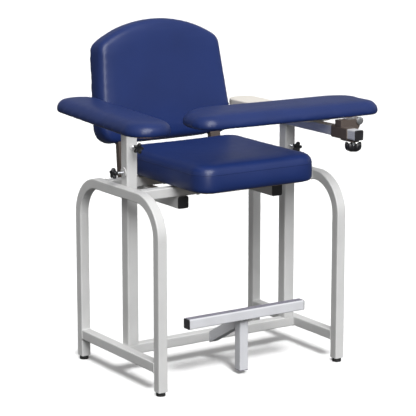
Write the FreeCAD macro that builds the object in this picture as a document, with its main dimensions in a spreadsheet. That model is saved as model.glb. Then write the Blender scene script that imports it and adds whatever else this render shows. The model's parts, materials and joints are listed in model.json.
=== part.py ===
import FreeCAD, Part
import math
import os

import Sketcher
from FreeCAD import Placement, Rotation, Vector

# An extra-tall blood-draw chair. Millimetres, +Z up, the sitter faces -Y.
# Left and right are as seen by someone who stands in front of the chair: left is -X.
# The origin is on the floor under the middle of the four legs.

os.makedirs("parts", exist_ok=True)
doc = FreeCAD.newDocument("blood_draw_chair")
sheet = doc.addObject("Spreadsheet::Sheet", "Sizes")

DRIVING_DIMENSIONS = {
    # square tubing
    "tube": 31.75,
    "tube_wall": 2.0,
    "tube_corner": 4.0,
    "sleeve": 38.1,
    "sleeve_wall": 3.0,
    "sleeve_corner": 4.5,
    # frame
    "frame_width": 701.4,
    "frame_depth": 504.0,
    "hoop_top": 613.5,
    "hoop_bend": 112.6,
    "low_rail_top": 102.1,
    "low_cross_rail_setback": 3.1,
    "glide_height": 13.0,
    "glide_diameter": 29.0,
    "glide_step": 1.5,
    "seat_rail_spacing": 198.2,
    "carrier_offset": 177.0,
    "carrier_front": 117.0,
    "carrier_back": 226.0,
    "cap_thick": 3.0,
    "cap_plug": 12.0,
    "cap_edge": 1.2,
    # footrest
    "footrest_width": 431.6,
    "footrest_top": 215.6,
    "footrest_tread": 1.0,
    "footrest_tread_margin": 1.0,
    "footrest_front": 216.0,
    "footrest_leg_front": 196.0,
    "footrest_leg_bottom": 16.0,
    # seat
    "seat_width": 438.0,
    "seat_depth": 476.0,
    "seat_front": 287.0,
    "seat_foam": 80.5,
    "seat_board": 10.0,
    "seat_board_inset": 22.0,
    "seat_wrap": 7.0,
    "seat_corner": 60.0,
    "seat_edge": 22.0,
    "seat_under_edge": 9.0,
    "seat_bolt_offset": 110.0,
    # back
    "back_front": 233.0,
    "back_bottom": 697.0,
    "back_recline": 10.76,
    "back_thick": 72.0,
    "back_half_bottom": 254.4,
    "back_half_shoulder": 231.4,
    "back_shoulder_height": 320.0,
    "back_height": 394.0,
    "back_corner": 55.0,
    "back_shoulder_corner": 45.0,
    "back_edge": 18.0,
    "back_board": 12.0,
    "back_board_inset": 26.0,
    "back_slot_front": 38.0,
    "back_slot_height": 206.0,
    "back_slot_foot_front": 4.0,
    "back_slot_foot_height": 46.0,
    "back_slot_play": 0.6,
    "back_bolt_low": 90.0,
    "back_bolt_high": 170.0,
    "upright_thick": 19.0,
    "upright_lean": 4.5,
    "upright_knee": 150.0,
    "upright_jog_height": 40.0,
    "upright_end_height": 200.0,
    # arm posts
    "post_offset": 299.1,
    "left_post_top": 805.7,
    "right_post_top": 748.3,
    "inner_post_bottom": 480.0,
    "boss_thick": 3.0,
    "front_boss_diameter": 18.0,
    "side_boss_diameter": 30.0,
    # left arm pad
    "pad_thick": 40.0,
    "pad_edge": 30.0,
    "pad_under_edge": 8.0,
    "pad_board": 10.0,
    "pad_board_inset": 18.0,
    "left_pad_length": 621.0,
    "left_pad_width": 149.0,
    "left_pad_corner": 70.0,
    "left_pad_bottom": 811.0,
    "left_pad_side": 360.0,
    "left_pad_front": 2.0,
    "left_pad_splay": 5.7,
    "arm_plate_thick": 5.0,
    "arm_plate_length": 104.0,
    "arm_plate_width": 90.0,
    "arm_plate_corner": 10.0,
    "arm_screw_out": 32.0,
    "arm_screw_in": 18.0,
    "arm_screw_offset": 32.0,
    "arm_screw_length": 12.0,
    # slide bar and its fixed armrest
    "bar_bottom": 748.6,
    "bar_front": 379.0,
    "bar_length": 540.0,
    "rest_width": 100.0,
    "rest_side": 302.0,
    "rest_front": 175.0,
    "rest_length": 473.0,
    "rest_thick": 20.6,
    "rest_corner": 44.0,
    "rest_rear_corner": 20.0,
    "rest_edge": 5.0,
    "rest_screw_bite": 10.0,
    "rest_screw_front": 120.0,
    "rest_screw_back": 100.0,
    # slider, hinge and flip arm
    "slider_front": 341.0,
    "slider_length": 79.0,
    "tab_thick": 4.0,
    "tab_width": 28.0,
    "tab_length": 66.0,
    "tab_front": 366.0,
    "tab_corner": 6.0,
    "hinge_side": 352.5,
    "hinge_height": 797.0,
    "hinge_pin": 12.0,
    "hinge_pin_head": 25.0,
    "hinge_pin_head_thick": 4.0,
    "hinge_pin_nut": 18.0,
    "hinge_pin_tail": 8.0,
    "hinge_knuckle": 21.0,
    "hinge_front": 312.0,
    "hinge_length": 30.0,
    "hinge_lug": 8.0,
    "hinge_bracket_foot": 31.0,
    "leaf_front": 275.0,
    "leaf_back": 185.0,
    "leaf_reach": 117.5,
    "leaf_step": 40.5,
    "leaf_screw_far": 100.0,
    "leaf_screw_near": 36.0,
    "leaf_screw_front": 262.0,
    "leaf_screw_back": 200.0,
    "leaf_screw_length": 9.0,
    "running_play": 0.05,
    "flip_pad_length": 667.0,
    "flip_pad_width": 219.0,
    "flip_pad_side": 125.0,
    "flip_pad_front": 189.4,
    "flip_pad_turn": 2.9,
    "flip_pad_bottom": 808.0,
    "flip_pad_corner": 60.0,
    "flip_pad_hinge_corner": 84.0,
    "flip_pad_free_corner": 135.0,
    # clamp knobs
    "knob_diameter": 35.0,
    "knob_thick": 13.5,
    "knob_standoff": 30.0,
    "knob_stud": 8.0,
    "slider_knob_diameter": 54.0,
    "slider_knob_thick": 29.0,
    "slider_knob_front": 352.0,
    "slider_knob_top": 740.0,
    "left_front_knob_height": 734.0,
    "right_front_knob_height": 680.0,
    "left_side_knob_height": 653.0,
    "right_side_knob_height": 636.0,
    # screws, and the play round them
    "bolt": 8.0,
    "bolt_head": 13.0,
    "bolt_head_height": 5.3,
    "bolt_play": 0.2,
    "screw": 5.0,
    "screw_head": 10.0,
    "screw_head_height": 3.0,
    "screw_play": 0.1,
    "clearance": 0.3,
}


class Size:
    """A length together with the spreadsheet formula that gives it."""

    def __init__(self, number, formula):
        self.number = float(number)
        self.formula = formula

    def _with(self, other, sign, number):
        other_formula = other.formula if isinstance(other, Size) else repr(float(other))
        return Size(number, f"({self.formula} {sign} {other_formula})")

    def __add__(self, other):
        return self._with(other, "+", self.number + plain(other))

    def __sub__(self, other):
        return self._with(other, "-", self.number - plain(other))

    def __mul__(self, other):
        return self._with(other, "*", self.number * plain(other))

    def __truediv__(self, other):
        return self._with(other, "/", self.number / plain(other))

    def __neg__(self):
        return Size(-self.number, f"(-1 * {self.formula})")


def plain(value):
    return value.number if isinstance(value, Size) else float(value)


def as_size(value):
    return value if isinstance(value, Size) else Size(value, repr(float(value)))


def fill_sheet():
    """Writes the driving dimensions to the sheet and returns them by name."""
    sizes = {}
    for row, (name, number) in enumerate(DRIVING_DIMENSIONS.items(), start=1):
        sheet.set(f"A{row}", name.replace("_", " "))
        sheet.set(f"B{row}", str(number))
        sheet.setAlias(f"B{row}", name)
        sizes[name] = Size(number, f"Sizes.{name}")
    doc.recompute()
    return sizes


size = fill_sheet()
tube = size["tube"]
sleeve = size["sleeve"]
ZERO = as_size(0)

# Where each rigid group of tubes sits.
leg_side = size["frame_width"] / 2 - tube / 2
leg_end = size["frame_depth"] / 2 - tube / 2
hoop_axis = size["hoop_top"] - tube / 2
seam_height = hoop_axis - size["hoop_bend"]
rail_top = size["hoop_top"]
rail_axis = size["hoop_top"] - tube / 2
low_rail_axis = size["low_rail_top"] - tube / 2
carrier_axis = size["hoop_top"] - tube - sleeve / 2
bar_axis = size["bar_bottom"] + tube / 2

# Turns, each named by where it sends a body's own +Z.
UPRIGHT = Rotation()
TO_RIGHT = Rotation(Vector(0, 1, 0), 90)
TO_LEFT = Rotation(Vector(0, 1, 0), -90)
TO_BACK = Rotation(Vector(1, 0, 0), -90)
TO_FRONT = Rotation(Vector(1, 0, 0), 90)
TO_FLOOR = Rotation(Vector(1, 0, 0), 180)

pieces = []


# ---------------------------------------------------------------- helpers: placing and sketching


def bind(item, path, value):
    """Ties a property to its formula."""
    item.setExpression(path, as_size(value).formula)


def place(item, x, y, z, rotation=UPRIGHT):
    """Turns a sub-part and ties its position to the sheet."""
    x, y, z = as_size(x), as_size(y), as_size(z)
    item.Placement = Placement(Vector(x.number, y.number, z.number), rotation)
    bind(item, "Placement.Base.x", x)
    bind(item, "Placement.Base.y", y)
    bind(item, "Placement.Base.z", z)


def new_body(label):
    body = doc.addObject("PartDesign::Body", label)
    body.Label = label
    body.AllowCompound = True
    pieces.append(body)
    return body


def new_sketch(body, role, name, lift=ZERO):
    """A sketch on one of the body's own origin planes, moved off it by lift along the plane's normal."""
    sketch = body.newObject("Sketcher::SketchObject", f"{body.Label}_{name}")
    plane = next(item for item in body.Origin.OriginFeatures if item.Role == role)
    sketch.AttachmentSupport = [(plane, "")]
    sketch.MapMode = "FlatFace"
    sketch.AttachmentOffset = Placement(Vector(0, 0, plain(lift)), Rotation())
    bind(sketch, "AttachmentOffset.Base.z", lift)
    return sketch


def measure(sketch, kind, *references, value):
    """Adds a dimension and ties it to its formula."""
    value = as_size(value)
    index = sketch.addConstraint(Sketcher.Constraint(kind, *references, value.number))
    bind(sketch, f"Constraints[{index}]", value)


def pin_point(sketch, item, end, x, y):
    """Holds a point of the sketch at x, y from its origin."""
    for kind, value in (("DistanceX", as_size(x)), ("DistanceY", as_size(y))):
        if value.number == 0:
            axis = -2 if kind == "DistanceX" else -1
            sketch.addConstraint(Sketcher.Constraint("PointOnObject", item, end, axis))
        else:
            measure(sketch, kind, -1, 1, item, end, value=value)


def draw_polygon(sketch, corners):
    """A closed outline through corners, each a pair of sizes."""
    points = [Vector(plain(x), plain(y), 0) for x, y in corners]
    count = len(points)
    lines = [
        sketch.addGeometry(Part.LineSegment(points[i], points[(i + 1) % count]), False)
        for i in range(count)
    ]
    for i in range(count):
        sketch.addConstraint(Sketcher.Constraint("Coincident", lines[i], 2, lines[(i + 1) % count], 1))
    for line, (x, y) in zip(lines, corners):
        pin_point(sketch, line, 1, x, y)


def draw_circle(sketch, radius, x=ZERO, y=ZERO):
    centre = Vector(plain(x), plain(y), 0)
    item = sketch.addGeometry(Part.Circle(centre, Vector(0, 0, 1), plain(radius)), False)
    measure(sketch, "Radius", item, value=radius)
    pin_point(sketch, item, 3, x, y)


def draw_rounded_rectangle(sketch, length, width, radii):
    """A rectangle about the sketch's origin; radii run anticlockwise from the corner at -X, -Y."""
    half_x, half_y = plain(length) / 2, plain(width) / 2
    front_left, front_right, rear_right, rear_left = (plain(radius) for radius in radii)
    straights = [
        ((-half_x + front_left, -half_y), (half_x - front_right, -half_y)),
        ((half_x, -half_y + front_right), (half_x, half_y - rear_right)),
        ((half_x - rear_right, half_y), (-half_x + rear_left, half_y)),
        ((-half_x, half_y - rear_left), (-half_x, -half_y + front_left)),
    ]
    lines = [
        sketch.addGeometry(Part.LineSegment(Vector(*start, 0), Vector(*end, 0)), False)
        for start, end in straights
    ]
    centres = [
        (half_x - front_right, -half_y + front_right, front_right),
        (half_x - rear_right, half_y - rear_right, rear_right),
        (-half_x + rear_left, half_y - rear_left, rear_left),
        (-half_x + front_left, -half_y + front_left, front_left),
    ]
    arcs = []
    for quarter, (x, y, radius) in enumerate(centres):
        circle = Part.Circle(Vector(x, y, 0), Vector(0, 0, 1), radius)
        start = math.radians(-90 + 90 * quarter)
        arcs.append(sketch.addGeometry(Part.ArcOfCircle(circle, start, start + math.pi / 2), False))
    for i in range(4):
        sketch.addConstraint(Sketcher.Constraint("Tangent", lines[i], 2, arcs[i], 1))
        sketch.addConstraint(Sketcher.Constraint("Tangent", arcs[i], 2, lines[(i + 1) % 4], 1))
        direction = "Horizontal" if i % 2 == 0 else "Vertical"
        sketch.addConstraint(Sketcher.Constraint(direction, lines[i]))
        measure(sketch, "Radius", arcs[i], value=radii[(i + 1) % 4])
    measure(sketch, "DistanceX", lines[3], 1, lines[1], 1, value=length)
    measure(sketch, "DistanceY", lines[0], 1, lines[2], 1, value=width)
    measure(sketch, "DistanceX", -1, 1, lines[1], 1, value=length / 2)
    measure(sketch, "DistanceY", -1, 1, lines[2], 1, value=width / 2)


def draw_rounded_square(sketch, width, corner):
    draw_rounded_rectangle(sketch, width, width, [corner] * 4)


# ---------------------------------------------------------------- helpers: features


def pad(body, sketch, length, name="pad", symmetric=False, reverse=False):
    item = body.newObject("PartDesign::Pad", f"{body.Label}_{name}")
    item.Profile = sketch
    item.Length = plain(length)
    bind(item, "Length", length)
    item.SideType = "Symmetric" if symmetric else "One side"
    item.Reversed = reverse
    doc.recompute()
    return item


def pocket(body, sketch, length=None, name="pocket", reverse=False):
    """Cuts the sketch's outline out of the body: symmetric and right through when length is left out."""
    before = body.Shape.Volume
    item = body.newObject("PartDesign::Pocket", f"{body.Label}_{name}")
    item.Profile = sketch
    if length is None:
        item.SideType = "Symmetric"
        item.Type = "ThroughAll"
    else:
        item.Length = plain(length)
        bind(item, "Length", length)
    item.Reversed = reverse
    doc.recompute()
    if body.Shape.Volume >= before:
        raise RuntimeError(f"{item.Name} cuts nothing")
    return item


def round_edges(body, wanted, radius, name):
    """Fillets the edges of the body's tip that wanted(edge) picks."""
    base = body.Tip
    names = [f"Edge{i}" for i, edge in enumerate(base.Shape.Edges, start=1) if wanted(edge)]
    if not names:
        raise RuntimeError(f"{body.Label} {name} finds no edge")
    item = body.newObject("PartDesign::Fillet", f"{body.Label}_{name}")
    item.Base = (base, names)
    item.Radius = plain(radius)
    bind(item, "Radius", radius)
    doc.recompute()
    return item


def runs_up(edge, x, y):
    """Is the edge upright in the body's own frame, at x, y?"""
    box = edge.BoundBox
    return (
        box.XLength < 0.01
        and box.YLength < 0.01
        and abs(box.XMin - plain(x)) < 0.1
        and abs(box.YMin - plain(y)) < 0.1
    )


def lies_at(edge, z):
    """Does the edge lie flat in the body's own frame at height z?"""
    box = edge.BoundBox
    return box.ZLength < 0.01 and abs(box.ZMin - plain(z)) < 0.01


def square_tube(label, width, wall, corner, length, symmetric=False):
    """A hollow square tube along the body's own Z."""
    body = new_body(label)
    outside = new_sketch(body, "XY_Plane", "outside")
    draw_rounded_square(outside, width, corner)
    pad(body, outside, length, symmetric=symmetric)
    inside = new_sketch(body, "XY_Plane", "inside")
    draw_rounded_square(inside, width - wall * 2, corner - wall)
    pocket(body, inside, name="bore")
    return body


def drill(body, role, spots, radius, depth=None, reverse=False, name="hole"):
    """Round holes square to one of the body's planes."""
    sketch = new_sketch(body, role, name)
    for x, y in spots:
        draw_circle(sketch, radius, x, y)
    pocket(body, sketch, depth, name=f"{name}_cut", reverse=reverse)


def slab(label, length, width, thick, radii):
    """A flat board with rounded corners, its bottom at the body's own origin."""
    body = new_body(label)
    outline = new_sketch(body, "XY_Plane", "outline")
    draw_rounded_rectangle(outline, length, width, radii)
    pad(body, outline, thick)
    return body


def upholstered_pad(label, outline, thick, edges, board, wrap):
    """A foam pad with a soft rim above and below, hollowed from below where its board is let in.

    outline and board are each a length, a width and four corner radii.
    edges are the upper and the lower rim radius.
    """
    body = slab(label, *outline[:2], thick, outline[2])
    round_edges(body, lambda edge: lies_at(edge, thick), edges[0], "upper_edge")
    round_edges(body, lambda edge: lies_at(edge, ZERO), edges[1], "under_edge")
    recess = new_sketch(body, "XY_Plane", "recess")
    draw_rounded_rectangle(recess, *board)
    pocket(body, recess, wrap, name="recess_cut", reverse=True)
    return body


def inset_outline(length, width, radii, inset):
    return length - inset * 2, width - inset * 2, [radius - inset for radius in radii]


def arm_pad_on_board(name, length, width, radii):
    """An arm pad with its board let in flush, both at the height of the board's bottom."""
    board_outline = inset_outline(length, width, radii, size["pad_board_inset"])
    cushion = upholstered_pad(
        name,
        (length, width, radii),
        size["pad_thick"],
        (size["pad_edge"], size["pad_under_edge"]),
        board_outline,
        size["pad_board"],
    )
    board = slab(f"{name}_board", *board_outline[:2], size["pad_board"], board_outline[2])
    return cushion, board


def studs(label, spots, head_radius, head_length, shank_radius, shank_length):
    """Several like fasteners in one node, heads at the body's own origin plane, shanks up its own Z."""
    body = new_body(label)
    heads = new_sketch(body, "XY_Plane", "heads")
    shanks = new_sketch(body, "XY_Plane", "shanks")
    for x, y in spots:
        draw_circle(heads, head_radius, x, y)
        draw_circle(shanks, shank_radius, x, y)
    pad(body, heads, head_length, name="head", reverse=True)
    pad(body, shanks, shank_length, name="shank")
    return body


def end_cap(label, width, wall):
    """A square plastic cap: a flange, and a plug that goes up the body's own +Z into the tube."""
    body = new_body(label)
    flange = new_sketch(body, "XY_Plane", "flange")
    draw_rounded_square(flange, width, wall * 2)
    pad(body, flange, size["cap_thick"], name="flange_pad", reverse=True)
    round_edges(body, lambda edge: lies_at(edge, -size["cap_thick"]), size["cap_edge"], "rim")
    plug = new_sketch(body, "XY_Plane", "plug")
    draw_rounded_square(plug, width - wall * 2 - size["clearance"], wall)
    pad(body, plug, size["cap_plug"], name="plug_pad")
    return body


# Radii of a star knob's hub and lobes, as shares of its diameter.
KNOB_HUB_SHARE = 0.33
KNOB_LOBE_SHARE = 0.15
KNOB_LOBES = 5


def star_knob(label, diameter, thick, stud_length):
    """A five-lobed clamp knob: head up the body's own +Z from its origin, threaded stud down -Z."""
    body = new_body(label)
    hub = new_sketch(body, "XY_Plane", "hub")
    draw_circle(hub, diameter * KNOB_HUB_SHARE)
    pad(body, hub, thick, name="hub_pad")
    lobe = new_sketch(body, "XY_Plane", "lobe")
    draw_circle(lobe, diameter * KNOB_LOBE_SHARE, diameter * (0.5 - KNOB_LOBE_SHARE), ZERO)
    lobe_pad = pad(body, lobe, thick, name="lobe_pad")
    ring = body.newObject("PartDesign::PolarPattern", f"{label}_lobes")
    ring.Originals = [lobe_pad]
    ring.Axis = (hub, ["N_Axis"])
    ring.Angle = 360
    ring.Occurrences = KNOB_LOBES
    body.Tip = ring
    doc.recompute()
    stud = new_sketch(body, "XY_Plane", "stud")
    draw_circle(stud, size["knob_stud"] / 2)
    pad(body, stud, stud_length, name="stud_pad", reverse=True)
    return body


# ---------------------------------------------------------------- frame


def build_side(side, sign):
    """One side of the frame: a bent hoop on two legs with a low rail between them."""
    x = leg_side * sign
    leg_length = seam_height - size["glide_height"]
    for end, direction in (("front", -1), ("rear", 1)):
        leg = square_tube(f"{side}_{end}_leg", tube, size["tube_wall"], size["tube_corner"], leg_length)
        place(leg, x, leg_end * direction, size["glide_height"])

    hoop = new_body(f"{side}_hoop")
    path = new_sketch(hoop, "YZ_Plane", "path")
    end, bend = leg_end.number, size["hoop_bend"].number
    left_arc = Part.ArcOfCircle(
        Part.Circle(Vector(-end + bend, 0, 0), Vector(0, 0, 1), bend), math.pi / 2, math.pi
    )
    right_arc = Part.ArcOfCircle(
        Part.Circle(Vector(end - bend, 0, 0), Vector(0, 0, 1), bend), 0, math.pi / 2
    )
    top = Part.LineSegment(Vector(-end + bend, bend, 0), Vector(end - bend, bend, 0))
    first = path.addGeometry(left_arc, False)
    middle = path.addGeometry(top, False)
    last = path.addGeometry(right_arc, False)
    path.addConstraint(Sketcher.Constraint("Tangent", first, 1, middle, 1))
    path.addConstraint(Sketcher.Constraint("Tangent", middle, 2, last, 2))
    path.addConstraint(Sketcher.Constraint("Horizontal", middle))
    measure(path, "Radius", first, value=size["hoop_bend"])
    measure(path, "Radius", last, value=size["hoop_bend"])
    pin_point(path, first, 2, -leg_end, ZERO)
    pin_point(path, last, 1, leg_end, ZERO)
    profile = new_sketch(hoop, "XY_Plane", "profile")
    profile.AttachmentOffset = Placement(Vector(0, -end, 0), Rotation())
    bind(profile, "AttachmentOffset.Base.y", -leg_end)
    draw_rounded_square(profile, tube, size["tube_corner"])
    draw_rounded_square(profile, tube - size["tube_wall"] * 2, size["tube_corner"] - size["tube_wall"])
    pipe = hoop.newObject("PartDesign::AdditivePipe", f"{side}_hoop_pipe")
    pipe.Profile = profile
    pipe.Spine = (path, [])
    doc.recompute()
    place(hoop, x, ZERO, seam_height)

    low_rail = square_tube(
        f"{side}_low_rail",
        tube,
        size["tube_wall"],
        size["tube_corner"],
        size["frame_depth"] - tube * 2,
        symmetric=True,
    )
    place(low_rail, x, ZERO, low_rail_axis, TO_BACK)


def build_cross_rails():
    """The tubes that join the two sides: one low, and two under the seat."""
    between = size["frame_width"] - tube * 2
    low = square_tube(
        "low_cross_rail", tube, size["tube_wall"], size["tube_corner"], between, symmetric=True
    )
    place(low, ZERO, -size["low_cross_rail_setback"], low_rail_axis, TO_RIGHT)
    bolt_spots = [(ZERO, size["seat_bolt_offset"] * side) for side in (-1, 1)]
    for end, direction in (("front", -1), ("rear", 1)):
        rail = square_tube(
            f"seat_rail_{end}", tube, size["tube_wall"], size["tube_corner"], between, symmetric=True
        )
        drill(rail, "YZ_Plane", bolt_spots, size["bolt"] / 2 + size["bolt_play"], name="bolt_hole")
        place(rail, ZERO, size["seat_rail_spacing"] / 2 * direction, rail_axis, TO_RIGHT)


def build_carriers():
    """Two heavier tubes front to back under the seat rails, capped in front; they carry the back."""
    length = size["carrier_front"] + size["carrier_back"]
    for side, sign in (("left", -1), ("right", 1)):
        carrier = square_tube(
            f"seat_carrier_{side}", sleeve, size["sleeve_wall"], size["sleeve_corner"], length
        )
        place(carrier, size["carrier_offset"] * sign, -size["carrier_front"], carrier_axis, TO_BACK)
        cap = end_cap(f"carrier_cap_{side}", sleeve, size["sleeve_wall"])
        place(cap, size["carrier_offset"] * sign, -size["carrier_front"], carrier_axis, TO_BACK)


def build_posts():
    """The arm posts, each drilled for two clamp knobs, with a weld boss round each hole."""
    stud_hole = size["knob_stud"] / 2 + size["running_play"]
    bottom = size["low_rail_top"]
    posts = (
        ("left", -1, size["left_post_top"]),
        ("right", 1, size["right_post_top"]),
    )
    for side, sign, top in posts:
        post = square_tube(
            f"{side}_post", sleeve, size["sleeve_wall"], size["sleeve_corner"], top - bottom
        )
        front_spot = [(ZERO, size[f"{side}_front_knob_height"] - bottom)]
        side_spot = [(ZERO, size[f"{side}_side_knob_height"] - bottom)]
        drill(post, "XZ_Plane", front_spot, stud_hole, sleeve, reverse=True, name="front_hole")
        drill(post, "YZ_Plane", side_spot, stud_hole, sleeve, reverse=(sign > 0), name="side_hole")
        place(post, size["post_offset"] * sign, ZERO, bottom)
    build_bosses(stud_hole)


def build_bosses(stud_hole):
    """Flat rings welded round the stud holes: small ones in front of the posts, larger ones outside."""
    front = new_body("front_bosses")
    side = new_body("side_bosses")
    for name, sign in (("left", -1), ("right", 1)):
        front_height = size[f"{name}_front_knob_height"]
        side_height = size[f"{name}_side_knob_height"]
        front_ring = new_sketch(front, "XZ_Plane", f"{name}_ring", sleeve / 2)
        draw_circle(front_ring, size["front_boss_diameter"] / 2, size["post_offset"] * sign, front_height)
        draw_circle(front_ring, stud_hole, size["post_offset"] * sign, front_height)
        pad(front, front_ring, size["boss_thick"], name=f"{name}_ring_pad")
        side_ring = new_sketch(
            side, "YZ_Plane", f"{name}_ring", (size["post_offset"] + sleeve / 2) * sign
        )
        draw_circle(side_ring, size["side_boss_diameter"] / 2, ZERO, side_height)
        draw_circle(side_ring, stud_hole, ZERO, side_height)
        pad(side, side_ring, size["boss_thick"], name=f"{name}_ring_pad", reverse=(sign < 0))


def build_footrest():
    """A cross bar on a centre leg, braced by a strut from the low cross rail."""
    bar = square_tube(
        "footrest_bar",
        tube,
        size["tube_wall"],
        size["tube_corner"],
        size["footrest_width"],
        symmetric=True,
    )
    bar_depth = tube / 2 - size["footrest_front"]
    bar_height = size["footrest_top"] - tube / 2
    place(bar, ZERO, bar_depth, bar_height, TO_RIGHT)
    half = size["footrest_width"] / 2
    for side, sign, turn in (("left", -1, TO_RIGHT), ("right", 1, TO_LEFT)):
        cap = end_cap(f"footrest_cap_{side}", tube, size["tube_wall"])
        place(cap, half * sign, bar_depth, bar_height, turn)

    margin = size["footrest_tread_margin"] * 2
    tread = slab(
        "footrest_tread",
        size["footrest_width"] - margin,
        tube - size["tube_corner"] * 2 - margin,
        size["footrest_tread"],
        [size["footrest_tread_margin"] * 2] * 4,
    )
    place(tread, ZERO, bar_depth, size["footrest_top"])

    leg_top = size["footrest_top"] - tube
    leg_axis = tube / 2 - size["footrest_leg_front"]
    leg = square_tube(
        "footrest_leg",
        tube,
        size["tube_wall"],
        size["tube_corner"],
        leg_top - size["footrest_leg_bottom"],
    )
    place(leg, ZERO, leg_axis, size["footrest_leg_bottom"])
    plug = end_cap("footrest_leg_plug", tube, size["tube_wall"])
    place(plug, ZERO, leg_axis, size["footrest_leg_bottom"])

    # The strut's ends are cut upright, to lie on the leg's rear face and the cross rail's front face.
    near = tube - size["footrest_leg_front"]
    far = -size["low_cross_rail_setback"] - tube / 2
    slant = math.atan2(
        plain(leg_top - size["low_rail_top"]),
        plain(far - near),
    )
    tall = tube / math.cos(slant)
    wall = size["tube_wall"] / math.cos(slant)
    strut = new_body("footrest_strut")
    outline = new_sketch(strut, "YZ_Plane", "outline")
    draw_polygon(
        outline,
        [
            (near, leg_top - tall),
            (far, size["low_rail_top"] - tall),
            (far, size["low_rail_top"]),
            (near, leg_top),
        ],
    )
    pad(strut, outline, tube, symmetric=True)
    bore = new_sketch(strut, "YZ_Plane", "bore")
    draw_polygon(
        bore,
        [
            (near, leg_top - tall + wall),
            (far, size["low_rail_top"] - tall + wall),
            (far, size["low_rail_top"] - wall),
            (near, leg_top - wall),
        ],
    )
    hollow = strut.newObject("PartDesign::Pocket", "footrest_strut_hollow")
    hollow.Profile = bore
    hollow.SideType = "Symmetric"
    hollow.Length = plain(tube - size["tube_wall"] * 2)
    bind(hollow, "Length", tube - size["tube_wall"] * 2)
    doc.recompute()
    place(strut, ZERO, ZERO, ZERO)


def build_glides():
    """Four round rubber feet, each with a stem in its leg."""
    spots = [(leg_side * x, leg_end * y) for x in (-1, 1) for y in (-1, 1)]
    foot_radius = size["glide_diameter"] / 2
    stem_radius = foot_radius - size["glide_step"]
    glides = studs(
        "floor_glides", spots, foot_radius, size["glide_height"], stem_radius, size["cap_plug"]
    )
    place(glides, ZERO, ZERO, size["glide_height"])


# ---------------------------------------------------------------- seat and back


def build_seat():
    """A foam seat whose cover wraps a plywood board, bolted through the two seat rails."""
    middle = size["seat_depth"] / 2 - size["seat_front"]
    outline = (size["seat_width"], size["seat_depth"], [size["seat_corner"]] * 4)
    board_outline = inset_outline(*outline, size["seat_board_inset"])
    board = slab("seat_board", *board_outline[:2], size["seat_board"], board_outline[2])
    place(board, ZERO, middle, rail_top)
    cushion = upholstered_pad(
        "seat_cushion",
        outline,
        size["seat_foam"],
        (size["seat_edge"], size["seat_under_edge"]),
        board_outline,
        size["seat_wrap"],
    )
    place(cushion, ZERO, middle, rail_top + size["seat_board"] - size["seat_wrap"])
    offset, half_spacing = size["seat_bolt_offset"], size["seat_rail_spacing"] / 2
    spots = [(offset * x, half_spacing * y) for x in (-1, 1) for y in (-1, 1)]
    bolts = studs(
        "seat_bolts",
        spots,
        size["bolt_head"] / 2,
        size["bolt_head_height"],
        size["bolt"] / 2,
        tube,
    )
    place(bolts, ZERO, ZERO, rail_top - tube)


BACK_TURN = Rotation(Vector(1, 0, 0), -size["back_recline"].number)
# An inset of the outline lowers its slanting shoulders by this share of the inset.
SHOULDER_SHARE = 0.7


def back_outline(inset):
    """The back's outline in its own plane: X across, Y up the back, inset all round."""
    half_bottom = size["back_half_bottom"] - inset
    half_shoulder = size["back_half_shoulder"] - inset
    shoulder = size["back_shoulder_height"] - inset * SHOULDER_SHARE
    crown = size["back_height"] - inset
    return half_bottom, half_shoulder, shoulder, crown, as_size(inset)


def draw_back(sketch, inset):
    """Straight foot and sides with an arched top."""
    half_bottom, half_shoulder, shoulder, crown, foot = back_outline(inset)
    left_foot = (-half_bottom, foot)
    right_foot = (half_bottom, foot)
    right_shoulder = (half_shoulder, shoulder)
    left_shoulder = (-half_shoulder, shoulder)
    corners = [left_shoulder, left_foot, right_foot, right_shoulder]
    points = [Vector(plain(x), plain(y), 0) for x, y in corners]
    lines = [sketch.addGeometry(Part.LineSegment(points[i], points[i + 1]), False) for i in range(3)]
    arch = sketch.addGeometry(Part.Arc(points[3], Vector(0, plain(crown), 0), points[0]), False)
    for i in range(2):
        sketch.addConstraint(Sketcher.Constraint("Coincident", lines[i], 2, lines[i + 1], 1))
    sketch.addConstraint(Sketcher.Constraint("Coincident", lines[2], 2, arch, 1))
    sketch.addConstraint(Sketcher.Constraint("Coincident", lines[0], 1, arch, 2))
    for line, (x, y) in zip(lines, corners):
        pin_point(sketch, line, 1, x, y)
    pin_point(sketch, lines[2], 2, *right_shoulder)
    rise = crown - shoulder
    measure(sketch, "Radius", arch, value=rise / 2 + half_shoulder * half_shoulder / rise / 2)
    return corners


def back_panel(label, inset, thick, foot_corner, shoulder_corner):
    """A panel with the back's outline, its front face on the body's own XY plane, thickness down -Z."""
    body = new_body(label)
    outline = new_sketch(body, "XY_Plane", "outline")
    left_shoulder, left_foot, right_foot, right_shoulder = draw_back(outline, inset)
    pad(body, outline, thick, reverse=True)
    rounds = (
        ("foot", (left_foot, right_foot), foot_corner),
        ("shoulder", (left_shoulder, right_shoulder), shoulder_corner),
    )
    for name, spots, radius in rounds:
        round_edges(
            body,
            lambda edge: any(runs_up(edge, x, y) for x, y in spots),
            radius,
            f"{name}_corners",
        )
    return body


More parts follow.
